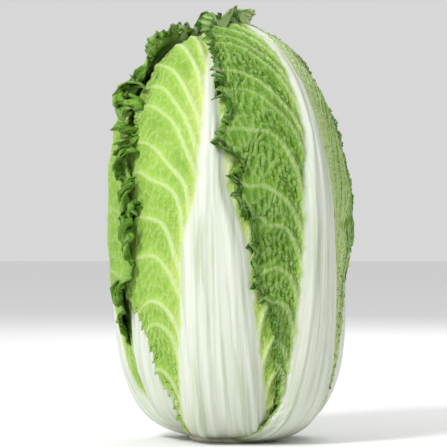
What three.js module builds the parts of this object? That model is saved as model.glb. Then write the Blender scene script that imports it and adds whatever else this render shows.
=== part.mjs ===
// Napa cabbage: a barrel head of overlapping leaves on a cut stump.
// Millimetres, +Z up, front towards -Y. The cut face of the stump lies on z = 0.
import * as THREE from "three";

// Outer shape of the whole head
const headRadius = 82.5;
const bellyHeight = 150;
const crownHeight = 135;
const baseDepth = 147;
const baseSquareness = 3.7;
const crownSquareness = 2.25;
const headLean = -0.042;

// Small bud in the middle that every layer is blown up from
const budRadius = 10;
const budCentreHeight = 104;
const budHalfHeight = 30;

// Stump: the cone that the leaf bases grow from, as an angle from straight down
const stumpAngle = 9.6;
const stumpTopFraction = 0.06;
const leafStartAngle = 10.9;

// Leaves, outermost first; angles in degrees round the head from the front towards +X
const outerLeaves = [
  { angle: 48, reach: 180, halfWidth: 66, ribHalf: 25, ribThick: 8.5, edgeLift: 2.5 },
  { angle: -117, reach: 170, halfWidth: 78, ribHalf: 26, ribThick: 7.4, edgeLift: 4.5 },
  { angle: 128, reach: 172, halfWidth: 80, ribHalf: 27, ribThick: 8.0, edgeLift: 2.0 },
  { angle: -7, reach: 171, halfWidth: 91, ribHalf: 29, ribThick: 8.0, edgeLift: 1.0 },
  { angle: -154, reach: 182, halfWidth: 80, ribHalf: 27, ribThick: 7.5, edgeLift: 2.5 },
  { angle: 86, reach: 174, halfWidth: 82, ribHalf: 27, ribThick: 7.5, edgeLift: 0.5 },
  { angle: -43, reach: 172, halfWidth: 84, ribHalf: 28, ribThick: 7.5, edgeLift: 0.5 },
];
const leafCount = 32;
const goldenAngle = 137.5;
const bladeThickness = 1.2;
const layerGap = 1.15;
const innermostFraction = 0.16;
const outermostFraction = 0.955;

const leafGrids = [
  { upTo: 8, along: 12, across: 12 },
  { upTo: 18, along: 10, across: 8 },
  { upTo: 99, along: 8, across: 6 },
];

// Leaves that need one more row or column of facets to be saved and read back cleanly
const extraRow = [10, 21];
const extraColumn = [31];

const degree = Math.PI / 180;
const clamp = (value, low, high) => Math.min(high, Math.max(low, value));
const mix = (from, to, amount) => from + (to - from) * amount;
const smooth = (value) => {
  const x = clamp(value, 0, 1);
  return x * x * (3 - 2 * x);
};

// Half section of the head at an angle from straight down, from the bud (0) to the skin (1)
function section(angle, fraction) {
  const squareness = Math.cos(angle) > 0 ? baseSquareness : crownSquareness;
  const height = Math.cos(angle) > 0 ? baseDepth : crownHeight;
  const up = -Math.sign(Math.cos(angle)) * Math.abs(Math.cos(angle)) ** (2 / squareness);
  const outerR = headRadius * Math.abs(Math.sin(angle)) ** (2 / squareness);
  const outerZ = bellyHeight + height * up;
  const innerR = budRadius * Math.sin(angle);
  const innerZ = budCentreHeight - budHalfHeight * Math.cos(angle);
  return { r: mix(innerR, outerR, fraction), z: mix(innerZ, outerZ, fraction) };
}

// Millimetres measured square to the layers for one whole step of fraction
function layerDepth(angle) {
  const here = clamp(angle, 0.12, Math.PI - 0.05);
  const low = section(here - 0.02, 1);
  const high = section(here + 0.02, 1);
  const tangent = new THREE.Vector2(high.r - low.r, high.z - low.z).normalize();
  const inner = section(here, 0);
  const outer = section(here, 1);
  const reach = new THREE.Vector2(outer.r - inner.r, outer.z - inner.z);
  return Math.max(0.6 * reach.length(), Math.abs(reach.x * tangent.y - reach.y * tangent.x));
}

// A point of the head from a direction on the unit ball and a layer fraction
function headPoint(direction, fraction) {
  const angle = Math.acos(clamp(-direction.z, -1, 1));
  const { r, z } = section(angle, fraction);
  const flat = Math.hypot(direction.x, direction.y) || 1;
  const x = (r * direction.x) / flat + headLean * z;
  return new THREE.Vector3(x, (r * direction.y) / flat, z);
}

// Frame of a leaf on the unit ball: outwards and sideways
function leafFrame(leaf) {
  const turn = leaf.angle * degree;
  const out = new THREE.Vector3(Math.sin(turn), -Math.cos(turn), 0);
  const side = new THREE.Vector3(Math.cos(turn), Math.sin(turn), 0);
  return { out, side };
}

// Half width of a leaf in millimetres from its base (0) to its tip (1)
function halfWidthAt(leaf, along) {
  const spread = smooth((along - 0.04) / 0.62) ** 1.5;
  const closing = 1 - 0.32 * smooth((along - 0.72) / 0.28);
  return mix(0.8 * leaf.ribHalf, leaf.halfWidth, spread) * closing;
}

// Sideways angle on the unit ball for one millimetre of skin at a given angle up the leaf
function sidewaysPerMillimetre(middle) {
  return Math.abs(Math.sin(middle)) / Math.max(section(middle, 1).r, 1);
}

// Where a strip of the leaf starts so that its end follows the round stump
function stripStart(lateral) {
  const round = Math.cos(leafStartAngle * degree) / Math.cos(Math.min(Math.abs(lateral), 0.185));
  return Math.acos(Math.min(1, round));
}

function stripEnd(leaf, across) {
  return leaf.reach * degree - 0.55 * Math.abs(across) ** 2.6;
}

// Direction of the leaf's grid point; along 0..1 base to tip, across -1..1
function leafDirection(leaf, frame, along, across) {
  const middle = mix(leafStartAngle * degree, stripEnd(leaf, across), along);
  const lateral = across * halfWidthAt(leaf, along) * sidewaysPerMillimetre(middle);
  const turn = mix(stripStart(lateral), stripEnd(leaf, across), along);
  return new THREE.Vector3()
    .addScaledVector(frame.out, Math.cos(lateral) * Math.sin(turn))
    .addScaledVector(frame.side, Math.sin(lateral))
    .add(new THREE.Vector3(0, 0, -Math.cos(lateral) * Math.cos(turn)));
}

// The reverse: where on the leaf a direction falls
function placeOnLeaf(leaf, frame, direction) {
  const lateral = Math.asin(clamp(direction.dot(frame.side), -1, 1));
  let turn = Math.atan2(direction.dot(frame.out), -direction.z);
  if (turn < -1.2) turn += 2 * Math.PI;
  let along = 0.5;
  let across = 0;
  for (let pass = 0; pass < 5; pass += 1) {
    const end = stripEnd(leaf, clamp(across, -1.2, 1.2));
    along = (turn - stripStart(lateral)) / (end - stripStart(lateral));
    const middle = mix(leafStartAngle * degree, end, clamp(along, 0, 1.05));
    const width = halfWidthAt(leaf, clamp(along, 0, 1)) * sidewaysPerMillimetre(middle);
    across = lateral / Math.max(width, 0.02);
  }
  return { along, across };
}

// Leaf thickness: thick flat rib at the base fading to a thin blade
function thicknessAt(leaf, along, across) {
  const ribHalf = leaf.ribHalf * mix(1, 0.13, smooth((along - 0.34) / 0.38));
  const offset = (Math.abs(across) * halfWidthAt(leaf, along)) / ribHalf;
  const lengthwise = mix(0.25, 1, smooth(along / 0.25)) * mix(1, 0.1, along ** 0.8);
  const rib = leaf.ribThick * lengthwise * (1 - smooth((offset - 0.45) / 0.75));
  return bladeThickness * mix(1.2, 1, along) + rib;
}

// Points spread evenly over the unit ball; each keeps how far the head is filled there
function makeBall(count) {
  const points = [];
  for (let i = 0; i < count; i += 1) {
    const z = 1 - (2 * i + 1) / count;
    const flat = Math.sqrt(1 - z * z);
    const turn = i * goldenAngle * degree;
    const where = new THREE.Vector3(flat * Math.cos(turn), flat * Math.sin(turn), z);
    points.push({ where, skin: headPoint(where, 1), fill: 0 });
  }
  return points;
}

function makeLeafList() {
  const list = [];
  for (let i = 0; i < leafCount; i += 1) {
    const inward = i / (leafCount - 1);
    const ruled = {
      angle: outerLeaves[6].angle - goldenAngle * (i - 6),
      reach: mix(176, 166, inward) + 9 * Math.sin(i * 2.4),
      halfWidth: mix(82, 74, inward),
      ribHalf: mix(24, 15, inward),
      ribThick: mix(6, 0.6, inward ** 0.6),
      edgeLift: 0,
    };
    const leaf = { ...(outerLeaves[i] ?? ruled) };
    leaf.fraction = mix(outermostFraction, innermostFraction, inward ** 1.2);
    const grid = leafGrids.find((entry) => i < entry.upTo);
    leaf.rows = grid.along + (extraRow.includes(i + 1) ? 1 : 0);
    leaf.columns = grid.across + (extraColumn.includes(i + 1) ? 1 : 0);
    leaf.name = "leaf_" + String(i + 1).padStart(2, "0");
    leaf.inward = inward;
    list.push(leaf);
  }
  return list;
}

// Highest fill within some millimetres of a point of the skin
function fillNear(ball, skin, radius) {
  let best = 0;
  for (const point of ball) {
    if (point.fill > best && point.skin.distanceToSquared(skin) < radius * radius) best = point.fill;
  }
  return best;
}

// Lay one leaf over what is already there; gives inner and outer fractions of its grid
function drapeLeaf(leaf, ball) {
  const { rows, columns } = leaf;
  const frame = leafFrame(leaf);
  const grid = [];
  for (let row = 0; row <= rows; row += 1) {
    const line = [];
    for (let column = 0; column <= columns; column += 1) {
      const along = row / rows;
      const across = (2 * column) / columns - 1;
      const direction = leafDirection(leaf, frame, along, across);
      const angle = Math.acos(clamp(-direction.z, -1, 1));
      const depth = layerDepth(angle);
      const below = fillNear(ball, headPoint(direction, 1), leaf.nearRadius);
      const inner = Math.max(leaf.fraction, below + layerGap / depth);
      line.push({ direction, along, across, depth, inner });
    }
    grid.push(line);
  }
  for (let pass = 0; pass < 3; pass += 1) relax(grid);
  for (const line of grid) {
    for (const node of line) {
      const rim = Math.max(Math.abs(node.across), node.along) ** 6 * smooth(node.along * 2);
      node.inner += (leaf.edgeLift * rim) / node.depth;
      node.outer = node.inner + thicknessAt(leaf, node.along, node.across) / node.depth;
    }
  }
  fillUnder(leaf, frame, grid, ball);
  return grid;
}

// Lift hollows to the mean of their neighbours, never lowering a point
function relax(grid) {
  const rows = grid.length;
  const columns = grid[0].length;
  const before = grid.map((line) => line.map((node) => node.inner));
  for (let row = 0; row < rows; row += 1) {
    for (let column = 0; column < columns; column += 1) {
      let total = 0;
      let count = 0;
      for (const [r, c] of [[row - 1, column], [row + 1, column], [row, column - 1], [row, column + 1]]) {
        if (r < 0 || c < 0 || r >= rows || c >= columns) continue;
        total += before[r][c];
        count += 1;
      }
      grid[row][column].inner = Math.max(before[row][column], total / count);
    }
  }
}

// Raise the fill wherever the leaf lies
function fillUnder(leaf, frame, grid, ball) {
  const rows = grid.length - 1;
  const columns = grid[0].length - 1;
  const margin = 0.06;
  for (const point of ball) {
    const { along, across } = placeOnLeaf(leaf, frame, point.where);
    if (along < -margin || along > 1 + margin || Math.abs(across) > 1 + margin) continue;
    const row = clamp(along, 0, 0.9999) * rows;
    const column = clamp((across + 1) / 2, 0, 0.9999) * columns;
    const r = Math.floor(row);
    const c = Math.floor(column);
    const near = mix(grid[r][c].outer, grid[r][c + 1].outer, column - c);
    const far = mix(grid[r + 1][c].outer, grid[r + 1][c + 1].outer, column - c);
    point.fill = Math.max(point.fill, mix(near, far, row - r));
  }
}

// Closed mesh from the two faces of a leaf
function leafGeometry(grid) {
  const rows = grid.length;
  const columns = grid[0].length;
  const positions = [];
  for (const side of ["outer", "inner"]) {
    for (const line of grid) {
      for (const node of line) positions.push(...headPoint(node.direction, node[side]).toArray());
    }
  }
  const at = (side, row, column) => side * rows * columns + row * columns + column;
  const faces = [];
  const quad = (a, b, c, d) => faces.push(a, b, c, a, c, d);
  for (let row = rows - 2; row >= 0; row -= 1) {
    for (let column = 0; column < columns - 1; column += 1) {
      quad(at(0, row, column), at(0, row, column + 1), at(0, row + 1, column + 1), at(0, row + 1, column));
      quad(at(1, row, column), at(1, row + 1, column), at(1, row + 1, column + 1), at(1, row, column + 1));
    }
  }
  for (let column = 0; column < columns - 1; column += 1) {
    const top = rows - 1;
    quad(at(1, 0, column), at(1, 0, column + 1), at(0, 0, column + 1), at(0, 0, column));
    quad(at(0, top, column), at(0, top, column + 1), at(1, top, column + 1), at(1, top, column));
  }
  for (let row = 0; row < rows - 1; row += 1) {
    const last = columns - 1;
    quad(at(0, row, 0), at(0, row + 1, 0), at(1, row + 1, 0), at(1, row, 0));
    quad(at(1, row, last), at(1, row + 1, last), at(0, row + 1, last), at(0, row, last));
  }
  const geometry = new THREE.BufferGeometry();
  geometry.setAttribute("position", new THREE.Float32BufferAttribute(positions, 3));
  geometry.setIndex(faces);
  geometry.computeVertexNormals();
  return geometry;
}

// Round body turned from a half section of [r, z] pairs, leaning with the head
function turnedBody(profile, segments) {
  const points = profile.map(([r, z]) => new THREE.Vector2(r, z));
  const geometry = new THREE.LatheGeometry(points, segments);
  geometry.rotateX(Math.PI / 2);
  const position = geometry.getAttribute("position");
  for (let i = 0; i < position.count; i += 1) {
    position.setX(i, position.getX(i) + headLean * position.getZ(i));
  }
  geometry.computeVertexNormals();
  return geometry;
}

// Cut stump with a flat face on z = 0, narrowing upwards to a blunt top
function stumpGeometry() {
  const foot = section(stumpAngle * degree, 1);
  const profile = [[0, 0], [foot.r - 1.5, 0], [foot.r, 1.5]];
  for (let step = 1; step <= 4; step += 1) {
    const fraction = mix(1, stumpTopFraction, step / 4);
    const point = section(stumpAngle * degree, fraction);
    profile.push([point.r * 0.97, Math.max(point.z, 2.5)]);
  }
  profile.push([0, profile.at(-1)[1] + 1.2]);
  return turnedBody(profile, 24);
}

// Tight bud of the youngest leaves, just above the stump
function budGeometry() {
  const profile = [];
  for (let step = 0; step <= 8; step += 1) {
    const angle = mix(0, Math.PI, step / 8);
    const r = 0.85 * budRadius * Math.sin(angle) ** 0.9;
    const z = budCentreHeight - 0.85 * budHalfHeight * Math.cos(angle) + 3;
    profile.push([step === 0 || step === 8 ? 0 : r, z]);
  }
  return turnedBody(profile, 12);
}

const leafSkin = new THREE.MeshStandardMaterial({ color: 0x9dbb62, roughness: 0.55, metalness: 0 });
const heartSkin = new THREE.MeshStandardMaterial({ color: 0xe6e3a2, roughness: 0.55, metalness: 0 });
const stumpSkin = new THREE.MeshStandardMaterial({ color: 0xdadfce, roughness: 0.6, metalness: 0 });

function named(name, geometry, material) {
  const mesh = new THREE.Mesh(geometry, material);
  mesh.name = name;
  return mesh;
}

const group = new THREE.Group();
group.name = "napa_cabbage";
group.add(named("stump", stumpGeometry(), stumpSkin));
group.add(named("heart_bud", budGeometry(), heartSkin));
const ball = makeBall(3600);
const leaves = makeLeafList();
for (const leaf of leaves.toReversed()) {
  leaf.nearRadius = mix(13, 9, leaf.inward);
  const grid = drapeLeaf(leaf, ball);
  group.add(named(leaf.name, leafGeometry(grid), leaf.inward > 0.55 ? heartSkin : leafSkin));
}

export default group;
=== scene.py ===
# Napa cabbage: a barrel head of overlapping leaves on a cut stump.
# Lengths are in millimetres and angles in degrees unless a note says otherwise.
import math

import bpy
import numpy as np
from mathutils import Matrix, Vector


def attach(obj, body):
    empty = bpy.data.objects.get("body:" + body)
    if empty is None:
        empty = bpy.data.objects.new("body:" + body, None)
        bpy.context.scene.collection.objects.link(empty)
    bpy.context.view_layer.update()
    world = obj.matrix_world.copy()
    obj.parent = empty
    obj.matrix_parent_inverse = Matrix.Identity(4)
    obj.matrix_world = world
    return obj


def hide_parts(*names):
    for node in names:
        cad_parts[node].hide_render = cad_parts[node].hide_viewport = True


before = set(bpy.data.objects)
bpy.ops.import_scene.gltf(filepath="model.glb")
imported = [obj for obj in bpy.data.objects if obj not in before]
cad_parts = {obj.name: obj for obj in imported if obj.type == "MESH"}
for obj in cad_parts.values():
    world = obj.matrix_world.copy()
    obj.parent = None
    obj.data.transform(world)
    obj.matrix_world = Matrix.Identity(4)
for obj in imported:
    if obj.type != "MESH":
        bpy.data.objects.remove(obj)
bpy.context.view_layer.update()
print("frame loaded")

mm = 0.001  # scene metres in one millimetre
rad = math.pi / 180


def mix(low, high, amount):
    return low + (high - low) * amount


def smooth(value):
    x = np.clip(value, 0.0, 1.0)
    return x * x * (3 - 2 * x)


# repeatable value 0..1 for each whole-number cell
def hashed(ix, iy, seed):
    v = ix.astype(np.int64) * 374761393 + iy.astype(np.int64) * 668265263 + seed * 974634777
    v = (v ^ (v >> 13)) & 0xFFFFFFFF
    v = (v * 1274126177) & 0xFFFFFFFF
    v = v ^ (v >> 16)
    return (v & 0xFFFFFF) / float(0xFFFFFF)


# smooth noise about -1..1, one bump for each unit
def waves(x, y, seed):
    ix, iy = np.floor(x), np.floor(y)
    fx, fy = x - ix, y - iy
    ux, uy = fx * fx * fx * (fx * (fx * 6 - 15) + 10), fy * fy * fy * (fy * (fy * 6 - 15) + 10)
    total = 0
    for dx in (0, 1):
        for dy in (0, 1):
            turn = hashed(ix + dx, iy + dy, seed) * 2 * math.pi
            slope = np.cos(turn) * (fx - dx) + np.sin(turn) * (fy - dy)
            total = total + slope * (ux if dx else 1 - ux) * (uy if dy else 1 - uy)
    return total * 1.5


# distance to the nearest and the next nearest scattered point, in cells
def cells(x, y, seed, scatter=0.85):
    ix, iy = np.floor(x), np.floor(y)
    first = np.full(x.shape, 9.0)
    second = np.full(x.shape, 9.0)
    for dx in (-1, 0, 1):
        for dy in (-1, 0, 1):
            px = ix + dx + 0.5 + scatter * (hashed(ix + dx, iy + dy, seed) - 0.5)
            py = iy + dy + 0.5 + scatter * (hashed(ix + dx, iy + dy, seed + 71) - 0.5)
            gap = np.hypot(px - x, py - y)
            second = np.minimum(second, np.maximum(first, gap))
            first = np.minimum(first, gap)
    return first, second


# the head's own shape, the same as the solids
head = {
    "radius": 82.5,
    "bellyHeight": 150.0,
    "crownHeight": 135.0,    # from the belly up to the crown
    "baseDepth": 147.0,      # from the belly down to the foot
    "basePower": 3.7,        # squareness of the lower half
    "crownPower": 2.25,
    "lean": -0.042,          # sideways shift for each mm of height
    "budRadius": 10.0,
    "budCentre": 104.0,
    "budHalfHeight": 30.0,
    "stumpAngle": 9.6,       # up from straight down
    "leafStart": 10.9,
    "goldenAngle": 137.5,
    "innermost": 0.16,       # place of the innermost leaf from the bud (0) to the skin (1)
    "outermost": 0.955,
    "bladeThickness": 1.2,
    "gap": 1.15,             # air between two leaves
}

# angle: round the head, 0 to the front. reach: how far up and over the crown. lift: the margin off the leaf below
# tone: 0 pale heart, 1 dark green. crinkle: puckering between the veins. frill: height of the margin's ruffles
# curl: how far the margin turns back, over curlBand mm. teeth and lobes: depth of the points and bays of the outline
# left, right, ribTaper and ribLean: (place up the leaf, value) pairs for wing widths and the rib's width and shift
usualLeaf = dict(
    left=[(0.0, 1.0)], right=[(0.0, 1.0)],
    ribTaper=[(0.1, 1.02), (0.5, 0.72), (0.7, 0.26), (0.85, 0.13), (1.0, 0.04)], ribLean=[(0.0, 0.0)],
    lobes=3.0, calmLeft=1.0, calmRight=1.0,  # calm: 0 smooth margin, 1 ruffled
    fanRight=0.0, tuckRight=0.0,  # veins close together, and mm the low margin is drawn in
    tipWindow=(2.0, 2.0), tipCurl=0, tipBand=0, tipDark=0.0,  # part of the tip that rolls up, from left to right
)

# outermost first
outerLeaves = [
    dict(  # front right, over all the others
        angle=48, reach=180, halfWidth=66, ribHalf=23, ribThick=8.5, lift=2.5, tone=0.67, crinkle=1.3, frill=2.6,
        curl=95, curlBand=9, darkEdge=0.6, veinStep=20, veinShow=0.6, teeth=2.6, lobes=2.0,
        ribLean=[(0.08, -7), (0.5, 4)],
        left=[(0.0, 1.5), (0.12, 1.45), (0.28, 0.97), (0.42, 0.84), (0.56, 0.87), (0.64, 1.02), (0.70, 0.88),
              (0.76, 1.12), (0.83, 1.05), (0.92, 1.2)],
        right=[(0.0, 1.0), (0.2, 0.8), (0.42, 0.45), (0.52, 0.45), (0.64, 0.9)], calmRight=0.25, fanRight=1.0,
        tipCurl=175, tipBand=16, tipWindow=(-0.3, 0.42), tipDark=0.45),
    dict(  # left, its frill over the front leaf
        angle=-117, reach=170, halfWidth=78, ribHalf=33, ribThick=7.4, lift=0.5, tone=0.52, crinkle=0.8, frill=4.6,
        curl=120, curlBand=15, darkEdge=0.6, veinStep=24, veinShow=0.5, teeth=1.0,
        ribLean=[(0.1, 7), (0.5, 0)], tuckRight=8.5,
        left=[(0.0, 1.15), (0.3, 1.0)], right=[(0.0, 2.1), (0.3, 1.55), (0.43, 1.1), (0.53, 1.36), (0.8, 1.3)]),
    dict(  # back right
        angle=128, reach=172, halfWidth=80, ribHalf=27, ribThick=8.0, lift=2.0, tone=0.62, crinkle=0.9, frill=2.4,
        curl=60, curlBand=9, darkEdge=0.9, veinStep=25, veinShow=0.6, teeth=2.0,
        left=[(0.0, 1.0), (0.12, 0.75), (0.45, 0.5), (0.56, 0.5), (0.72, 1.0)],
        right=[(0.0, 1.7), (0.25, 1.25), (0.5, 1.0)], calmLeft=0.12),
    dict(  # front, with the widest rib
        angle=-7, reach=171, halfWidth=91, ribHalf=29, ribThick=8.0, lift=1.0, tone=0.47, crinkle=0.6, frill=1.0,
        curl=8, curlBand=8, darkEdge=0.25, veinStep=19, veinShow=1.0, teeth=4.2,
        left=[(0.0, 1.3), (0.16, 1.3), (0.34, 0.93), (0.48, 0.79), (0.57, 0.97), (0.64, 1.0)],
        right=[(0.0, 1.35), (0.2, 1.2), (0.4, 1.0)],
        ribTaper=[(0.1, 1.02), (0.44, 0.74), (0.62, 0.27), (0.76, 0.13), (1.0, 0.04)]),
    dict(  # back
        angle=-154, reach=172, halfWidth=80, ribHalf=27, ribThick=7.5, lift=2.5, tone=0.66, crinkle=0.9, frill=3.4,
        curl=125, curlBand=12, darkEdge=1.1, veinStep=24, veinShow=0.5, teeth=1.5, calmLeft=0.05, calmRight=0.05),
    dict(  # right
        angle=82, reach=174, halfWidth=82, ribHalf=31, ribThick=7.5, lift=0.5, tone=0.62, crinkle=0.7, frill=2.0,
        curl=30, curlBand=9, darkEdge=0.8, veinStep=25, veinShow=0.7, teeth=1.5),
    dict(  # front left, its rib beside the front leaf
        angle=-43, reach=172, halfWidth=84, ribHalf=32, ribThick=7.5, lift=0.5, tone=0.58, crinkle=0.7, frill=1.6,
        curl=20, curlBand=8, darkEdge=0.7, veinStep=25, veinShow=0.8, teeth=1.0,
        ribLean=[(0.1, -5), (0.45, 0)], left=[(0.0, 1.75), (0.3, 1.5), (0.5, 1.0)]),
]

# the leaves below those, from the outermost of them to the innermost
lowerLeaves = {
    "reach": (176, 166), "halfWidth": (82, 74), "ribHalf": (24, 15), "crinkle": (0.7, 0.35),
    "frill": (1.6, 0.8), "darkEdge": (0.6, 0.1), "veinStep": (25, 18),
}
leafCount = sum(1 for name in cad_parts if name.startswith("leaf_"))


# half section of the head at an angle up from straight down, from the bud (0) to the skin (1)
def section(angle, fraction):
    low = np.cos(angle) > 0
    power = np.where(low, head["basePower"], head["crownPower"])
    height = np.where(low, head["baseDepth"], head["crownHeight"])
    up = -np.sign(np.cos(angle)) * np.abs(np.cos(angle)) ** (2 / power)
    outerR = head["radius"] * np.abs(np.sin(angle)) ** (2 / power)
    outerZ = head["bellyHeight"] + height * up
    innerR = head["budRadius"] * np.sin(angle)
    innerZ = head["budCentre"] - head["budHalfHeight"] * np.cos(angle)
    return mix(innerR, outerR, fraction), mix(innerZ, outerZ, fraction)


# millimetres square to the layers for one whole step of fraction
def layerDepth(angle):
    here = np.clip(angle, 0.12, math.pi - 0.05)
    lowR, lowZ = section(here - 0.02, 1.0)
    highR, highZ = section(here + 0.02, 1.0)
    length = np.hypot(highR - lowR, highZ - lowZ)
    tangentR, tangentZ = (highR - lowR) / length, (highZ - lowZ) / length
    innerR, innerZ = section(here, 0.0)
    outerR, outerZ = section(here, 1.0)
    reachR, reachZ = outerR - innerR, outerZ - innerZ
    return np.maximum(0.6 * np.hypot(reachR, reachZ), np.abs(reachR * tangentZ - reachZ * tangentR))


def angleOf(direction):
    return np.arccos(np.clip(-direction[..., 2], -1, 1))


def headPoint(direction, fraction):
    r, z = section(angleOf(direction), fraction)
    flat = np.maximum(np.hypot(direction[..., 0], direction[..., 1]), 1e-6)
    x = r * direction[..., 0] / flat + head["lean"] * z
    return np.stack([x, r * direction[..., 1] / flat, z], axis=-1)


# value at a place between (place, value) pairs, eased from one to the next
def eased(place, pairs):
    value = pairs[0][1] + 0 * place
    for (low, first), (high, second) in zip(pairs, pairs[1:]):
        value = value + (second - first) * smooth((place - low) / (high - low))
    return value


def halfWidthAt(leaf, along, across):
    spread = smooth((along - 0.04) / 0.62) ** 1.5
    closing = 1 - 0.32 * smooth((along - 0.72) / 0.28)
    wing = np.where(across < 0, eased(along, leaf["left"]), eased(along, leaf["right"]))
    return mix(0.8 * leaf["ribHalf"], leaf["halfWidth"], spread) * closing * wing


def ribHalfAt(leaf, share):
    return leaf["ribHalf"] * eased(share, leaf["ribTaper"])


def thicknessAt(leaf, along, share, offset):
    lengthwise = mix(0.25, 1, smooth(along / 0.25)) * mix(1, 0.1, np.clip(along, 0, 1) ** 0.8)
    rib = leaf["ribThick"] * lengthwise * (1 - smooth((offset - 0.45) / 0.75))
    return head["bladeThickness"] * mix(1.2, 1, along) + rib


# sideways angle on the unit ball for one millimetre of skin
def sidewaysPerMm(middle):
    return np.abs(np.sin(middle)) / np.maximum(section(middle, 1.0)[0], 1)


def stripStart(lateral):
    turned = math.cos(head["leafStart"] * rad) / np.cos(np.minimum(np.abs(lateral), 0.185))
    return np.arccos(np.minimum(1, turned))


def stripEnd(leaf, across):
    return leaf["reach"] * rad - 0.55 * np.abs(across) ** 2.6


def leafAxes(leaf):
    turn = leaf["angle"] * rad
    out = np.array([math.sin(turn), -math.cos(turn), 0])
    side = np.array([math.cos(turn), math.sin(turn), 0])
    return out, side


def leafDirection(leaf, along, across):
    out, side = leafAxes(leaf)
    middle = mix(head["leafStart"] * rad, stripEnd(leaf, across), along)
    lateral = across * halfWidthAt(leaf, along, across) * sidewaysPerMm(middle)
    turn = mix(stripStart(lateral), stripEnd(leaf, across), along)
    flat = (np.cos(lateral) * np.sin(turn))[..., None] * out + np.sin(lateral)[..., None] * side
    flat[..., 2] = -np.cos(lateral) * np.cos(turn)
    return flat


# places up the leaf, evenly spaced by length in each column
def placesByLength(leaf, shares, columns):
    even = np.linspace(0, 1, 501)
    close = 0.04 * np.linspace(-1, 1, 301) ** 3  # finer where the head's side is upright
    places = np.empty((len(shares), len(columns)))
    for j, across in enumerate(columns):
        belly = np.interp(0, leafDirection(leaf, even, across + 0 * even)[:, 2], even)
        fine = np.unique(np.clip(np.concatenate([even, belly + close]), 0, 1))
        line = headPoint(leafDirection(leaf, fine, across + 0 * fine), 0.97 + 0 * fine)
        travelled = np.concatenate([[0], np.cumsum(np.linalg.norm(np.diff(line, axis=0), axis=-1))])
        places[:, j] = np.interp(shares * travelled[-1], travelled, fine)
    return places


# the reverse: where on the leaf a direction falls
def placeOnLeaf(leaf, direction):
    out, side = leafAxes(leaf)
    lateral = np.arcsin(np.clip(direction @ side, -1, 1))
    turn = np.arctan2(direction @ out, -direction[..., 2])
    turn = np.where(turn < -1.2, turn + 2 * math.pi, turn)
    along = np.full(turn.shape, 0.5)
    across = np.zeros(turn.shape)
    for _ in range(5):
        end = stripEnd(leaf, np.clip(across, -1.2, 1.2))
        along = (turn - stripStart(lateral)) / (end - stripStart(lateral))
        middle = mix(head["leafStart"] * rad, end, np.clip(along, 0, 1.05))
        width = halfWidthAt(leaf, np.clip(along, 0, 1), lateral) * sidewaysPerMm(middle)
        across = lateral / np.maximum(width, 0.02)
    return along, across


# laying the leaves over each other, innermost first
drape = {
    "rows": 56,
    "columns": 36,
    "skinPoints": 10000,  # places on the skin that keep how far out it is filled
    "near": 6.5,          # a leaf rests on whatever is within this many mm
    "passes": 10,         # of smoothing
    "margin": 0.03,
}


def makeLeafList():
    leaves = []
    for i in range(leafCount):
        inward = i / (leafCount - 1)
        leaf = {key: mix(*ends, inward) for key, ends in lowerLeaves.items()}
        leaf["reach"] = leaf["reach"] + 9 * math.sin(i * 2.4) + 15 * (i < 13)  # the outer ones close the crown
        leaf.update(angle=outerLeaves[6]["angle"] - head["goldenAngle"] * (i - 6), lift=0.0,
                    ribThick=mix(6, 0.6, inward ** 0.6), tone=mix(0.40, 0.0, min(1, inward * 1.7)),
                    curl=15, curlBand=7, veinShow=0.8, teeth=1.5)
        if i < len(outerLeaves):
            leaf = outerLeaves[i]
        leaf = {**usualLeaf, **leaf}
        leaf["fraction"] = mix(head["outermost"], head["innermost"], inward ** 1.2)
        leaf["name"] = "leaf_%02d" % (i + 1)
        leaf["inward"] = inward
        leaf["index"] = i
        leaves.append(leaf)
    return leaves


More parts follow.
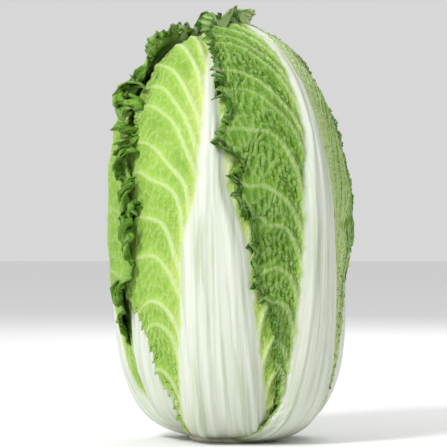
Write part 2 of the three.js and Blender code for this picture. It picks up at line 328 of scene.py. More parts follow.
def layLeaves(leaves):
    # directions that fall evenly over the skin
    count = drape["skinPoints"]
    step = np.arange(count)
    ring = np.linspace(0, math.pi, 20001)
    r, z = section(ring, 1.0)
    area = np.concatenate([[0], np.cumsum((r[1:] + r[:-1]) * np.hypot(np.diff(r), np.diff(z)))])
    polar = np.interp((step + 0.5) / count * area[-1], area, ring)
    turn = step * head["goldenAngle"] * rad
    ball = np.stack([np.sin(polar) * np.cos(turn), np.sin(polar) * np.sin(turn), -np.cos(polar)], axis=-1)
    skin = headPoint(ball, 1.0).astype(np.float32)
    fill = np.zeros(count)
    rows, columns = drape["rows"], drape["columns"]
    even, across = np.meshgrid(np.linspace(0, 1, rows + 1), np.linspace(-1, 1, columns + 1), indexing="ij")
    for leaf in reversed(leaves):
        along = placesByLength(leaf, even[:, 0], across[0])
        direction = leafDirection(leaf, along, across)
        depth = layerDepth(angleOf(direction))
        spots = headPoint(direction, 1.0).reshape(-1, 3).astype(np.float32)
        order = np.argsort(-fill)
        below = np.zeros(len(spots))
        for start in range(0, len(spots), 300):
            part = spots[start:start + 300]
            gap = ((part[:, None, :] - skin[None, order, :]) ** 2).sum(-1) < drape["near"] ** 2
            below[start:start + 300] = np.where(gap.any(1), fill[order][gap.argmax(1)], 0)
        inner = np.maximum(leaf["fraction"], below.reshape(along.shape) + head["gap"] / depth)
        for _ in range(drape["passes"]):
            wide = np.pad(inner, 1, mode="edge")
            mean = (wide[:-2, 1:-1] + wide[2:, 1:-1] + wide[1:-1, :-2] + wide[1:-1, 2:]) / 4
            inner = np.maximum(inner, mean)
        rim = np.maximum(np.abs(across), along) ** 6 * smooth((along - 0.3) / 0.3)
        inner = inner + leaf["lift"] * rim / depth
        offset = np.abs(across) * halfWidthAt(leaf, along, across) / ribHalfAt(leaf, even)
        outer = inner + thicknessAt(leaf, along, even, offset) / depth
        leaf["inner"] = inner
        u, v = placeOnLeaf(leaf, ball)
        on = (u > -drape["margin"]) & (u < 1 + drape["margin"]) & (np.abs(v) < 1 + drape["margin"])
        fine = np.linspace(0, 1, 401)
        shares = np.stack([np.interp(fine, along[:, j], even[:, j]) for j in range(columns + 1)], axis=-1)
        share = sampled(shares, u[on], (v[on] + 1) / 2, linear=True)
        fill[on] = np.maximum(fill[on], sampled(outer, share, (v[on] + 1) / 2, linear=True))


# values of a grid at places given as 0..1 down the rows and columns
def sampled(grid, u, v, linear=False):
    rows, columns = grid.shape[0] - 1, grid.shape[1] - 1
    row = np.clip(u, 0, 0.99999) * rows
    column = np.clip(v, 0, 0.99999) * columns
    r, c = np.floor(row).astype(int), np.floor(column).astype(int)
    fr, fc = row - r, column - c
    if linear:
        near = mix(grid[r, c], grid[r, c + 1], fc)
        return mix(near, mix(grid[r + 1, c], grid[r + 1, c + 1], fc), fr)
    wide = np.pad(grid, 1, mode="edge")
    total = 0
    for i, wr in enumerate(cubic(fr)):
        for j, wc in enumerate(cubic(fc)):
            total = total + wide[r + i, c + j] * wr * wc
    return total


# rounded blending weights of four neighbours
def cubic(f):
    return ((1 - f) ** 3 / 6, (3 * f ** 3 - 6 * f ** 2 + 4) / 6,
            (-3 * f ** 3 + 3 * f ** 2 + 3 * f + 1) / 6, f ** 3 / 6)


# the surface of a finished leaf, in mm unless noted
finish = {
    "veinSteep": 2.9,        # how steeply side veins leave the rib
    "veinBend": 15.0,        # over which they bend outwards
    "veinWidth": 1.5,
    "veinHeight": 1.15,
    "veinGroove": 0.25,      # the same ridge sunk into the inner face
    "netStep": 7.5,          # from mesh to mesh of the net between the veins
    "netHeight": 0.55,
    "fineNetStep": 3.4,
    "pucker": 1.9,           # depth between the veins
    "finePucker": 0.28,
    "sway": 1.1,             # slow unevenness of the whole blade
    "fluteHeight": 0.95,     # grooves along the rib
    "fluteCount": 4.6,
    "toothStep": 11,
    "lobeStep": 34,
    "tipLobe": 0.016,        # as a share of the leaf's length
    "cornerBlend": 4.0,      # over which the side margins turn into the top one
    "ruffleReach": 10,       # inwards from the margin
    "edgeThickness": 0.55,   # share of the thickness left at the margin
    "footDrop": 5.0,         # farthest that a cut butt comes down
}


def unitRows(vectors):
    return vectors / np.maximum(np.linalg.norm(vectors, axis=-1, keepdims=True), 1e-9)


def gridNormals(points, centre):
    down = np.gradient(points, axis=0)
    over = np.gradient(points, axis=1)
    normal = unitRows(np.cross(over, down))
    middle = points[points.shape[0] // 2, points.shape[1] // 2] - centre
    if normal[points.shape[0] // 2, points.shape[1] // 2] @ middle < 0:
        normal = -normal
    return normal


# distance in millimetres to the nearest side vein, and the vein coordinate
def sideVeins(leaf, d, y, side, length):
    bend = finish["veinBend"]
    fan = np.where(side > 0, leaf["fanRight"], 0.0)
    steep = finish["veinSteep"] + 2.5 * fan
    start = y
    for _ in range(8):
        flat = mix(0.12, 1.35, smooth((start / length - 0.26) / 0.5)) + 1.6 * fan
        start = y - flat * d - (steep - flat) * bend * (1 - np.exp(-d / bend))
    slope = flat + (steep - flat) * np.exp(-d / bend)
    seed = 300 + leaf["index"] * 7
    wander = 2.2 * waves(d / 30 + 50 * (side > 0), y / 35, seed)
    phase = (start + wander) / (leaf["veinStep"] * (1 - 0.5 * fan))
    nearest = np.full(d.shape, 9.0)
    strength = np.zeros(d.shape)
    for k in (-1, 0, 1):
        whole = np.floor(phase) + k
        shift = 0.55 * (hashed(whole, side, seed) - 0.5)
        gap = np.abs(phase - whole - 0.5 - shift)
        power = 0.75 + 0.35 * hashed(whole, side, seed + 5)
        strength = np.where(gap < nearest, power, strength)
        nearest = np.minimum(nearest, gap)
    gap = nearest * leaf["veinStep"] * (1 - 0.5 * fan) / np.sqrt(1 + slope ** 2)
    return gap, phase, strength


# outline with pointed teeth down the sides and shallow lobes round the top
def raggedPlaces(leaf, share, along, across, seed):
    side = np.where(across > 0, 1.0, 0.0)
    width = halfWidthAt(leaf, along, across)
    upTheLeaf = share * 330  # about the length in mm
    rhythm = upTheLeaf / finish["toothStep"] + 0.8 * waves(upTheLeaf / 23, side * 6.0, seed + 1)
    tooth = 1 - 2 * (rhythm - np.floor(rhythm)) ** 0.7
    pointed = smooth((along - 0.06) / 0.12) * (1 - 0.7 * smooth((along - 0.5) / 0.12))
    lobe = waves(upTheLeaf / finish["lobeStep"] + 80 * side, side * 5.0, seed + 2)
    depth = leaf["teeth"] * 0.5 * tooth * pointed + leaf["lobes"] * lobe * smooth((along - 0.12) / 0.2)
    outward = smooth((np.abs(across) - 0.72) / 0.28)
    tipLobe = waves(across * width / 16, along * 0 + 3.5, seed + 3) * finish["tipLobe"]
    return along + tipLobe * smooth((along - 0.8) / 0.2), across * (1 + depth / np.maximum(width, 20) * outward)


# distance to the margin, how much of it is to a side margin, and a place along the margin
def marginPlaces(leaf, share, along, across, width, length):
    blend = finish["cornerBlend"]
    sideGap = np.where(across > 0, np.abs(width[:, -1:] - width), np.abs(width[:, :1] - width))
    topGap = (1 - share) * length
    sideShare = np.exp(-np.minimum(sideGap, 200) / blend)
    topShare = np.exp(-np.minimum(topGap, 200) / blend)
    edgeGap = np.maximum(-blend * np.log(sideShare + topShare + 1e-30), 0)
    sideWeight = sideShare / (sideShare + topShare + 1e-30)
    marginX = mix(width, np.sign(across) * halfWidthAt(leaf, along, across), sideWeight)
    marginY = mix(length + 0 * share, share * length, sideWeight)
    return edgeGap, sideWeight, marginX, marginY


def makeLeaf(leaf, rows, columns):
    seed = 1000 + 37 * leaf["index"]
    evenRows = np.linspace(0, 1, rows)
    evenColumns = np.linspace(-1, 1, columns)
    rowShares = evenRows * 1.2 - 0.2 * evenRows ** 3  # closer together towards the margins
    columnPlaces = evenColumns * 1.22 - 0.22 * evenColumns ** 3
    along = placesByLength(leaf, rowShares, columnPlaces)
    share, across = np.meshgrid(rowShares, columnPlaces, indexing="ij")

    direction = leafDirection(leaf, *raggedPlaces(leaf, share, along, across, seed))
    fraction = sampled(leaf["inner"], share, (across + 1) / 2)
    tuck = leaf["tuckRight"] * smooth((across - 0.25) / 0.65) * (1 - smooth((along - 0.37) / 0.15))
    fraction = fraction - tuck / layerDepth(angleOf(direction))
    points = headPoint(direction, fraction)
    centre = np.array([head["lean"] * 120, 0, 120.0])

    # leaf coordinates in mm: y up the leaf, width across it, x and d from the middle and edge of the rib
    middle = columns // 2
    length = np.linalg.norm(np.diff(points[:, middle], axis=0), axis=-1).sum()
    y = share * length
    steps = np.linalg.norm(np.diff(points, axis=1), axis=-1)
    travelled = np.concatenate([np.zeros((rows, 1)), np.cumsum(steps, axis=1)], axis=1)
    width = np.abs(travelled - travelled[:, middle:middle + 1]) * np.sign(across)
    fromRib = width - eased(share, leaf["ribLean"])
    x = np.abs(fromRib)
    side = np.where(fromRib > 0, 1.0, 0.0)
    ribHalf = ribHalfAt(leaf, share)
    d = np.maximum(x - ribHalf, 0)
    edgeGap, sideWeight, marginX, marginY = marginPlaces(leaf, share, along, across, width, length)
    blade = smooth((x - ribHalf) / 6)
    upper = smooth((along - 0.36) / 0.24)

    # puckered blade between the veins
    veinGap, phase, veinPower = sideVeins(leaf, d, y, side, length)
    travel = d * 1.15 + 16 * (1 - np.exp(-d / 16)) + 3 * waves(x / 25, y / 25, seed + 4)
    first, second = cells(travel / finish["netStep"] + 60 * side, phase * 3.1 + 11 * side, seed + 5)
    netGap = (second - first)
    bulge = 1 - np.exp(-(netGap / 0.32) ** 2)
    first, second = cells(travel / finish["fineNetStep"] + 9 * side, phase * 7 + 31 * side, seed + 6)
    fineBulge = 1 - np.exp(-((second - first) / 0.35) ** 2)
    awayFromVein = 1 - np.exp(-(veinGap / 3.2) ** 2)
    strength = leaf["crinkle"] * blade * smooth(edgeGap / 6 + 0.35)
    pucker = -finish["pucker"] * strength * awayFromVein * (0.35 + 0.65 * bulge)
    pucker = pucker - finish["finePucker"] * strength * fineBulge * bulge
    sway = finish["sway"] * blade * waves(x / 38 + 3 * side, y / 42, seed + 7) * (0.4 + leaf["crinkle"])

    # ruffled margin, calmer where the tip rolls up
    calm = mix(leaf["calmLeft"], leaf["calmRight"], smooth((across + 0.1) / 0.2))
    tipLow, tipHigh = leaf["tipWindow"]
    tip = smooth((along - 0.75) / 0.1) * smooth((across - tipLow) / 0.25) * smooth((tipHigh - across) / 0.25)
    zone = mix(0.25, 1, upper) * calm * (1 - 0.5 * tip)
    ruffle = leaf["frill"] * zone * np.exp(-edgeGap / finish["ruffleReach"]) * (
        0.42 + waves(marginX / 8, marginY / 8, seed + 8)
        + 0.5 * np.exp(-edgeGap / 6) * waves(marginX / 3.8, marginY / 3.8, seed + 9))
    normal = gridNormals(points, centre)
    points = points + normal * (pucker + sway + np.maximum(ruffle, -1.5))[..., None]

    # margin turned back on itself
    towards = unitRows(np.gradient(points, axis=1)) * np.sign(across)[..., None] * sideWeight[..., None]
    towards = unitRows(towards + unitRows(np.gradient(points, axis=0)) * (1 - sideWeight)[..., None])
    normal = gridNormals(points, centre)
    band = mix(leaf["curlBand"], leaf["tipBand"], tip)
    band = band * (1 + 0.25 * waves(marginX / 26, marginY / 26, seed + 10))
    curl = mix(leaf["curl"], leaf["tipCurl"], tip)
    uneven = np.clip(0.75 + 0.9 * waves(marginX / 21, marginY / 21, seed + 11), 0.1, 1.6)
    turned = curl * rad * upper * mix(uneven * calm, 1, tip)
    inBand = np.clip(band - edgeGap, 0, None)
    radius = band / np.maximum(turned, 0.05)
    theta = inBand / radius
    points = points + towards * (radius * np.sin(theta) - inBand)[..., None]
    points = points + normal * (radius * (1 - np.cos(theta)))[..., None]
    small = leaf["frill"] * 0.28 * zone * np.exp(-edgeGap / 7)
    small = small * waves(marginX / 2.4 + edgeGap / 7, marginY / 2.4, seed + 12)
    points = points + gridNormals(points, centre) * small[..., None]
    normal = gridNormals(points, centre)

    # thickness, veins and flutes on the outer face
    veinWidth = finish["veinWidth"] * (0.38 + 0.8 * np.exp(-d / 22))
    veinRidge = np.exp(-(veinGap / veinWidth) ** 2) * veinPower * np.exp(-d / 75) * blade
    veinRidge = veinRidge * mix(0.5, 1, leaf["veinShow"])
    netRidge = np.exp(-(netGap / 0.13) ** 2) * blade * np.exp(-d / 120)
    flutes = waves(fromRib / ribHalf * finish["fluteCount"], y / 240, seed + 13)
    flutes = flutes + 0.5 * waves(fromRib / ribHalf * 10, y / 160, seed + 14)
    onRib = 1 - smooth((x - ribHalf * 0.85) / 5)
    thick = thicknessAt(leaf, along, share, x / ribHalf) * mix(finish["edgeThickness"], 1, smooth(edgeGap / 5))
    relief = (finish["veinHeight"] * veinRidge + finish["netHeight"] * leaf["crinkle"] * netRidge
              + finish["fluteHeight"] * flutes * onRib * smooth(along / 0.1))
    outer = points + normal * (thick + relief)[..., None]
    inner = points - normal * (finish["veinGroove"] * veinRidge)[..., None]

    # the cut butts of the outer leaves come down to the floor
    foot = outer[..., 2].min()
    low = 1 - smooth((outer[..., 2] - foot) / 28)
    drop = min(foot - 0.5, finish["footDrop"]) * low * (leaf["index"] < 8)
    outer[..., 2] = np.maximum(outer[..., 2] - drop, 0.5)
    inner[..., 2] = np.maximum(inner[..., 2] - drop, 1.0)

    # values that the material reads at each point
    nearTip = tip * np.exp(-(edgeGap / 17) ** 4)
    fields = {
        "ribGap": x - ribHalf + 16 * nearTip,
        "veinNear": veinGap / veinWidth,
        "veinPower": veinPower * np.exp(-d / 80) * leaf["veinShow"] * (1 + 0.6 * leaf["fanRight"] * side),
        "netNear": netGap,
        "edgeGap": edgeGap,
        "leafX": fromRib,
        "leafY": y,
        "alongLeaf": along,
        "tone": leaf["tone"] + leaf["tipDark"] * nearTip,
    }
    return outer, inner, fields


def buildMesh(leaf, outer, inner, fields):
    rows, columns = outer.shape[:2]
    count = rows * columns
    number = np.arange(count).reshape(rows, columns)

    def quads(a, b, c, e):
        return np.stack([a.ravel(), b.ravel(), c.ravel(), e.ravel()], axis=-1)

    n, m = number, number + count  # points of the outer and of the inner face
    top = quads(n[:-1, :-1], n[:-1, 1:], n[1:, 1:], n[1:, :-1])
    under = quads(m[:-1, :-1], m[1:, :-1], m[1:, 1:], m[:-1, 1:])
    rims = [
        quads(m[0, :-1], m[0, 1:], n[0, 1:], n[0, :-1]),
        quads(n[-1, :-1], n[-1, 1:], m[-1, 1:], m[-1, :-1]),
        quads(n[:-1, 0], n[1:, 0], m[1:, 0], m[:-1, 0]),
        quads(m[:-1, -1], m[1:, -1], n[1:, -1], n[:-1, -1]),
    ]
    faces = np.concatenate([top, under] + rims)
    points = np.concatenate([outer.reshape(-1, 3), inner.reshape(-1, 3)]) * mm

    mesh = bpy.data.meshes.new(leaf["name"] + "_skin")
    mesh.vertices.add(len(points))
    mesh.vertices.foreach_set("co", points.astype(np.float32).ravel())
    mesh.loops.add(faces.size)
    mesh.loops.foreach_set("vertex_index", faces.astype(np.int32).ravel())
    mesh.polygons.add(len(faces))
    mesh.polygons.foreach_set("loop_start", np.arange(0, faces.size, 4, dtype=np.int32))
    mesh.update(calc_edges=True)
    mesh.polygons.foreach_set("use_smooth", np.ones(len(faces), dtype=bool))

    # flat layout for the baked maps: outer face on the left, inner face on the right
    downRow, overColumn = np.meshgrid(np.linspace(0.01, 0.99, rows), np.linspace(0, 1, columns), indexing="ij")
    outerPlace = np.stack([0.01 + 0.62 * overColumn, downRow], axis=-1).reshape(-1, 2)
    innerPlace = np.stack([0.66 + 0.33 * overColumn, downRow], axis=-1).reshape(-1, 2)
    places = np.concatenate([outerPlace, innerPlace])[faces]
    rimStart = len(top) + len(under)
    rimFaces = faces[rimStart:]
    rimPlace = outerPlace[rimFaces % count]
    nudge = np.where((rimFaces >= count)[..., None], 0.008, 0.0)
    away = np.sign(rimPlace - np.array([0.32, 0.5]))
    atSide = np.abs(rimPlace[..., 0] - 0.32) > 0.3099
    atEnd = np.abs(rimPlace[..., 1] - 0.5) > 0.4899
    edgeOn = np.stack([atSide, atEnd], axis=-1)
    places[rimStart:] = rimPlace + nudge * away * edgeOn
    layer = mesh.uv_layers.new(name="OFBake")
    layer.data.foreach_set("uv", places.astype(np.float32).ravel())

    def store(name, outside, inside):
        attribute = mesh.attributes.new(name, "FLOAT", "POINT")
        values = np.concatenate([np.broadcast_to(outside, (rows, columns)).ravel(),
                                 np.broadcast_to(inside, (rows, columns)).ravel()])
        attribute.data.foreach_set("value", values.astype(np.float32))

    for name, values in fields.items():
        store(name, values, values)
    store("innerFace", 0.0, 1.0)
    store("darkEdge", leaf["darkEdge"], leaf["darkEdge"])
    return mesh


# screen colour 0..255 to the linear colour that shaders use
def colour(red, green, blue):
    def linear(value):
        v = value / 255
        return v / 12.92 if v <= 0.04045 else ((v + 0.055) / 1.055) ** 2.4
    return (linear(red), linear(green), linear(blue), 1.0)


# short way to add nodes and wire them
class Nodes:
    def __init__(self, name):
        self.material = bpy.data.materials.new(name)
        self.material.use_nodes = True
        self.tree = self.material.node_tree
        self.shader = self.tree.nodes["Principled BSDF"]

    def put(self, socket, value):
        if isinstance(value, bpy.types.NodeSocket):
            self.tree.links.new(value, socket)
        else:
            socket.default_value = value

    def add(self, kind):
        return self.tree.nodes.new(kind)

    def read(self, name):
        node = self.add("ShaderNodeAttribute")
        node.attribute_name = name
        return node.outputs["Fac"]

    def math(self, operation, a, b, clamp=False):
        node = self.add("ShaderNodeMath")
        node.operation = operation
        node.use_clamp = clamp
        self.put(node.inputs[0], a)
        self.put(node.inputs[1], b)
        return node.outputs[0]

    def plus(self, a, b):
        return self.math("ADD", a, b)

    def minus(self, a, b):
        return self.math("SUBTRACT", a, b)

    def times(self, a, b):
        return self.math("MULTIPLY", a, b)

    def bump(self, height, strength, distance):
        node = self.add("ShaderNodeBump")
        node.inputs["Strength"].default_value = strength
        node.inputs["Distance"].default_value = distance
        self.put(node.inputs["Height"], height)
        self.put(self.shader.inputs["Normal"], node.outputs[0])

    def span(self, value, fromLow, fromHigh, toLow=0.0, toHigh=1.0):
        node = self.add("ShaderNodeMapRange")
        node.interpolation_type = "SMOOTHSTEP"
        for name, given in (("Value", value), ("From Min", fromLow), ("From Max", fromHigh),
                            ("To Min", toLow), ("To Max", toHigh)):
            self.put(node.inputs[name], given)
        return node.outputs[0]

    def blend(self, amount, low, high):
        node = self.add("ShaderNodeMix")
        node.data_type = "RGBA"
        self.put(node.inputs["Factor"], amount)
        self.put(node.inputs[6], low)  # sockets 6 and 7 are the colours A and B
        self.put(node.inputs[7], high)
        return node.outputs[2]

    def ramp(self, value, stops):
        node = self.add("ShaderNodeValToRGB")
        ramp = node.color_ramp
        while len(ramp.elements) < len(stops):
            ramp.elements.new(0.5)
        for element, (position, shade) in zip(ramp.elements, stops):
            element.position = position
            element.color = shade
        self.put(node.inputs[0], value)
        return node.outputs[0]

    def noise(self, vector, scale, detail=3.0, roughness=0.55):
        node = self.add("ShaderNodeTexNoise")
        self.put(node.inputs["Vector"], vector)
        node.inputs["Scale"].default_value = scale
        node.inputs["Detail"].default_value = detail
        node.inputs["Roughness"].default_value = roughness
        return node.outputs["Fac"]

    def join(self, x, y, z=0.0):
        node = self.add("ShaderNodeCombineXYZ")
        for socket, value in zip(node.inputs, (x, y, z)):
            self.put(socket, value)
        return node.outputs[0]


leafLook = {
    "tones": [
        (0.00, colour(236, 230, 160)),
        (0.22, colour(192, 210, 112)),
        (0.40, colour(152, 190, 76)),
        (0.62, colour(106, 152, 38)),
        (0.82, colour(76, 128, 16)),
        (1.00, colour(52, 100, 6)),
    ],
    "rib": colour(212, 217, 204),
    # ribShade: the rib's own grey-green streaks, with painted shade of the grooves along the rib
    "ribShade": colour(182, 192, 168),
    "vein": colour(196, 215, 152),
    # grey-green of the cut butt, partly its own colour and partly painted shade where the base curves in under the
    # head
    "buttAndShade": colour(150, 160, 132),
    "edgeDark": 0.38,      # how much darker the margin gets
    "cloud": 0.34,         # uneven green in large patches
    "speck": 0.10,
    "innerDark": 0.10,
    "paleByVein": 0.10,
    "paleByRib": 0.14,
    "net": 0.24,           # how much the small veins show
    "fineNet": 0.12,
    "roughBlade": 0.44,
    "roughRib": 0.30,
    "grainHeight": 0.0006,
}


def leafMaterial():
    n = Nodes("cabbage_leaf")
    look = leafLook
    ribGap, veinNear, netNear = n.read("ribGap"), n.read("veinNear"), n.read("netNear")
    edgeGap, tone, darkEdge = n.read("edgeGap"), n.read("tone"), n.read("darkEdge")
    veinPower, innerFace, alongLeaf = n.read("veinPower"), n.read("innerFace"), n.read("alongLeaf")
    leafX, leafY = n.read("leafX"), n.read("leafY")
    onLeaf = n.join(leafX, leafY, n.times(innerFace, 40.0))

    # green of the blade: darker at the margin, paler by the veins and the rib
    cloud = n.noise(onLeaf, 0.035, 4.0)
    speck = n.noise(onLeaf, 0.35, 3.0, 0.6)
    edge = n.times(n.span(n.plus(edgeGap, n.times(cloud, 6.0)), 13.0, 3.0), darkEdge)
    upper = n.span(alongLeaf, 0.30, 0.62)
    shade = n.plus(tone, n.times(n.times(edge, upper), look["edgeDark"]))
    shade = n.plus(shade, n.times(n.minus(cloud, 0.5), look["cloud"]))
    shade = n.plus(shade, n.times(n.minus(speck, 0.5), look["speck"]))
    shade = n.plus(shade, n.times(innerFace, look["innerDark"]))
    byVein = n.times(n.span(veinNear, 5.0, 0.5), veinPower)
    shade = n.minus(shade, n.times(byVein, look["paleByVein"]))
    nearRib = n.span(ribGap, 14.0, 0.0)
    shade = n.math("SUBTRACT", shade, n.times(nearRib, look["paleByRib"]), clamp=True)
    blade = n.ramp(shade, look["tones"])

    # pale net and side veins
    net = n.span(netNear, 0.22, 0.02)
    blade = n.blend(n.times(net, look["net"]), blade, look["vein"])
    cellNode = n.add("ShaderNodeTexVoronoi")
    cellNode.feature = "DISTANCE_TO_EDGE"
    n.put(cellNode.inputs["Vector"], onLeaf)
    cellNode.inputs["Scale"].default_value = 0.42
    fine = n.span(cellNode.outputs["Distance"], 0.16, 0.0)
    blade = n.blend(n.times(fine, look["fineNet"]), blade, look["vein"])
    vein = n.times(n.span(veinNear, 1.25, 0.45), veinPower)
    blade = n.blend(n.times(vein, n.minus(0.95, n.times(innerFace, 0.4))), blade, look["vein"])

    # white rib with long grey-green streaks, partly its own colour and partly painted shade in the grooves along it,
    # and a greyer butt, partly its own colour and partly painted shade
    streakAndGrooveShade = n.noise(n.join(n.times(leafX, 0.28), n.times(leafY, 0.012), 3.0), 1.0, 3.0)
    ribColour = n.blend(n.span(streakAndGrooveShade, 0.42, 0.72), look["rib"], look["ribShade"])
    wander = n.times(n.minus(n.noise(onLeaf, 0.12, 2.0), 0.5), 5.0)
    ribEdge = n.span(n.plus(ribGap, wander), 3.4, -1.2)
    # darker grey-green over the lowest 34 mm of each leaf: partly the butt's own colour, partly painted shade
    ribColour = n.blend(n.span(leafY, 34.0, 4.0, 0.0, 0.5), ribColour, look["buttAndShade"])

    n.put(n.shader.inputs["Base Color"], n.blend(ribEdge, blade, ribColour))
    rough = n.span(ribEdge, 0.0, 1.0, look["roughBlade"], look["roughRib"])
    n.put(n.shader.inputs["Roughness"], n.plus(n.times(speck, 0.12), rough))
    n.shader.inputs["Subsurface Weight"].default_value = 0.12
    n.shader.inputs["Subsurface Radius"].default_value = (0.8, 1.0, 0.35)
    n.shader.inputs["Subsurface Scale"].default_value = 0.004
    n.shader.inputs["Specular IOR Level"].default_value = 0.2

    # grain: fine net on the blade, long fibres on the rib
    fibres = n.noise(n.join(n.times(leafX, 0.9), n.times(leafY, 0.05), 1.0), 1.0, 4.0)
    onBlade = n.plus(n.times(fine, 0.8), n.times(n.noise(onLeaf, 1.4, 3.0), 0.7))
    height = n.times(n.minus(1.0, ribEdge), onBlade)
    height = n.plus(height, n.times(ribEdge, n.times(fibres, 0.8)))
    n.bump(height, 0.55, look["grainHeight"])
    return n.material


stumpLook = {
    "pale": [(0.3, colour(196, 186, 150)), (0.5, colour(224, 222, 196)), (0.72, colour(236, 238, 220))],
    "fleck": colour(170, 150, 108),
}


def stumpMaterial():
    n = Nodes("cabbage_stump")
    where = n.add("ShaderNodeTexCoord").outputs["Object"]
    cloud = n.noise(where, 90.0, 5.0)
    fleck = n.noise(where, 700.0, 3.0, 0.7)
    pale = n.ramp(cloud, stumpLook["pale"])
    n.put(n.shader.inputs["Base Color"], n.blend(n.span(fleck, 0.62, 0.78), pale, stumpLook["fleck"]))
    n.put(n.shader.inputs["Roughness"], n.span(cloud, 0.3, 0.7, 0.7, 0.5))
    n.bump(n.plus(fleck, cloud), 0.5, 0.0008)
    return n.material


def addPiece(name, mesh, material, node):
    piece = bpy.data.objects.new(name, mesh)
    bpy.context.scene.collection.objects.link(piece)
    mesh.materials.append(material)
    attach(piece, "root")
    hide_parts(node)
    return piece


leaves = makeLeafList()
layLeaves(leaves)
print("leaves laid over each other")

leafSkin = leafMaterial()
stumpSkin = stumpMaterial()
# rows and columns of points on a leaf, finer where it is seen
detail = {"outer": (300, 150), "middle": (140, 76), "inner": (90, 48), "outerUpTo": 8, "middleUpTo": 14}
for leaf in leaves:
    number = leaf["index"]
    size = "outer" if number < detail["outerUpTo"] else "middle" if number < detail["middleUpTo"] else "inner"
    outer, inner, fields = makeLeaf(leaf, *detail[size])
    mesh = buildMesh(leaf, outer, inner, fields)
    addPiece("cabbage_" + leaf["name"], mesh, leafSkin, leaf["name"])
print("leaves made")


# round body from a list of (radius, height), a little uneven
def turnedMesh(name, profile, segments, wobble, seed):
    ring = np.linspace(0, 2 * math.pi, segments, endpoint=False)
    rows = []
    for r, z in profile:
        rough = 1 + wobble * waves(np.cos(ring) * 2.5 + 9, np.sin(ring) * 2.5 + z / 9, seed)
        x = r * rough * np.cos(ring) + head["lean"] * z
        rows.append(np.stack([x, r * rough * np.sin(ring), np.full(segments, z)], axis=-1))
    points = [tuple(p * mm) for row in rows[1:-1] for p in row]
    first, last = len(points), len(points) + 1
    points += [(head["lean"] * z * mm, 0, z * mm) for z in (profile[0][1], profile[-1][1])]
    faces = []
    rings = len(profile) - 2
    for row in range(rings - 1):
        for k in range(segments):
            after = (k + 1) % segments
            low, high = row * segments, (row + 1) * segments
            faces.append((low + k, low + after, high + after, high + k))
    for k in range(segments):
        after = (k + 1) % segments
        faces.append((first, after, k))
        faces.append((last, (rings - 1) * segments + k, (rings - 1) * segments + after))
    mesh = bpy.data.meshes.new(name)
    mesh.from_pydata(points, [], faces)
    mesh.polygons.foreach_set("use_smooth", np.ones(len(faces), dtype=bool))
    mesh.update()
    return mesh


stump = {"footRound": 1.2, "rings": 26, "segments": 128, "share": 0.97, "rough": 0.006}
foot = float(section(np.array(head["stumpAngle"] * rad), 1.0)[0])
profile = [(0, 0.0)]
for step in range(1, 12):
    profile.append((foot * step / 12, 0.0 if step < 11 else 0.05))
profile += [(foot - stump["footRound"], 0.1), (foot - 0.3, 0.6), (foot, stump["footRound"] + 0.3)]
for step in range(1, stump["rings"] + 1):
    r, z = section(np.array(head["stumpAngle"] * rad), mix(1.0, 0.06, step / stump["rings"]))
    profile.append((float(r) * stump["share"], max(float(z), 2.5 + 0.01 * step)))
profile.append((0, profile[-1][1] + 1.0))
stumpMesh = turnedMesh("stump_body", profile, stump["segments"], stump["rough"], 5)
addPiece("cabbage_stump", stumpMesh, stumpSkin, "stump")

bud = {"rings": 40, "segments": 72, "share": 0.82, "folds": 0.09, "raised": 3,
       "pale": [(0.3, colour(240, 234, 160)), (0.7, colour(250, 248, 214))]}
profile = [(0, head["budCentre"] - bud["share"] * head["budHalfHeight"] + bud["raised"])]
for step in range(1, bud["rings"]):
    turn = math.pi * step / bud["rings"]
    profile.append((bud["share"] * head["budRadius"] * math.sin(turn) ** 0.9,
                    head["budCentre"] - bud["share"] * head["budHalfHeight"] * math.cos(turn) + bud["raised"]))
profile.append((0, head["budCentre"] + bud["share"] * head["budHalfHeight"] + bud["raised"]))
budMesh = turnedMesh("bud_body", profile, bud["segments"], bud["folds"], 8)


def budMaterial():
    n = Nodes("cabbage_bud")
    where = n.add("ShaderNodeTexCoord").outputs["Object"]
    cloud = n.noise(where, 160.0, 5.0)
    n.put(n.shader.inputs["Base Color"], n.ramp(cloud, bud["pale"]))
    n.put(n.shader.inputs["Roughness"], n.span(cloud, 0.3, 0.7, 0.4, 0.55))
    return n.material


addPiece("cabbage_heart_bud", budMesh, budMaterial(), "heart_bud")
print("stump and heart made")


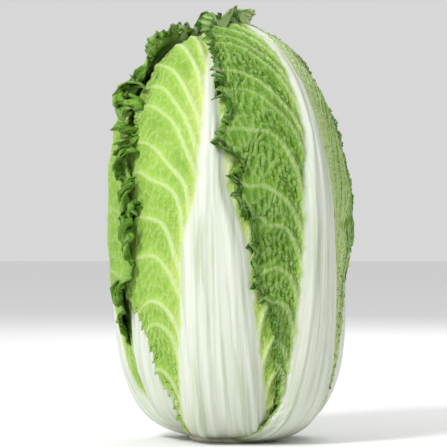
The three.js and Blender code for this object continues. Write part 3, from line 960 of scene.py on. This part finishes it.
studio = {
    "cameraDistance": 1.7,   # metres
    "shownHeight": 0.3022,   # metres of the head's plane that fill the picture
    "aimX": -0.0083,
    "aimZ": 0.1457,
    "floorShade": colour(240, 240, 240),
    "floorReach": 8.0,
    "worldStrength": 0.68,
    "lightsAimAt": (0, 0, 0.15),
    "lights": {  # place, size in metres, power in watts
        "key": ((-1.0, -1.2, 1.4), 0.5, 29),
        "fill": ((1.3, -1.2, 0.5), 1.2, 1),
        "back": ((0.3, 1.4, 1.2), 1.0, 10),
    },
}


def makeFloor():
    mesh = bpy.data.meshes.new("floor")
    far = studio["floorReach"]
    mesh.from_pydata([(-far, -far, 0), (far, -far, 0), (far, far, 0), (-far, far, 0)], [], [(0, 1, 2, 3)])
    floor = bpy.data.objects.new("floor", mesh)
    bpy.context.scene.collection.objects.link(floor)
    n = Nodes("pale_floor")
    n.shader.inputs["Base Color"].default_value = studio["floorShade"]
    n.shader.inputs["Roughness"].default_value = 0.9
    mesh.materials.append(n.material)


def makeLight(name, place, size, power):
    data = bpy.data.lights.new(name, "AREA")
    data.shape = "DISK"
    data.size = size
    data.energy = power
    lamp = bpy.data.objects.new(name, data)
    lamp.location = place
    towards = Vector(studio["lightsAimAt"]) - Vector(place)
    lamp.rotation_euler = towards.to_track_quat("-Z", "Y").to_euler()
    bpy.context.scene.collection.objects.link(lamp)


def makeCamera():
    data = bpy.data.cameras.new("camera")
    data.sensor_width = 36
    data.lens = 36 * studio["cameraDistance"] / studio["shownHeight"]
    data.clip_start, data.clip_end = 0.05, 50
    camera = bpy.data.objects.new("camera", data)
    camera.location = (studio["aimX"], -studio["cameraDistance"], studio["aimZ"])
    camera.rotation_euler = (math.pi / 2, 0, 0)
    bpy.context.scene.collection.objects.link(camera)
    bpy.context.scene.camera = camera


makeFloor()
for name, (place, size, power) in studio["lights"].items():
    makeLight(name, place, size, power)
world = bpy.data.worlds.new("studio")
world.use_nodes = True
sky = world.node_tree.nodes["Background"]
sky.inputs["Color"].default_value = (1, 1, 1, 1)
sky.inputs["Strength"].default_value = studio["worldStrength"]
bpy.context.scene.world = world
bpy.context.scene.view_settings.view_transform = "Standard"
makeCamera()
print("studio made")
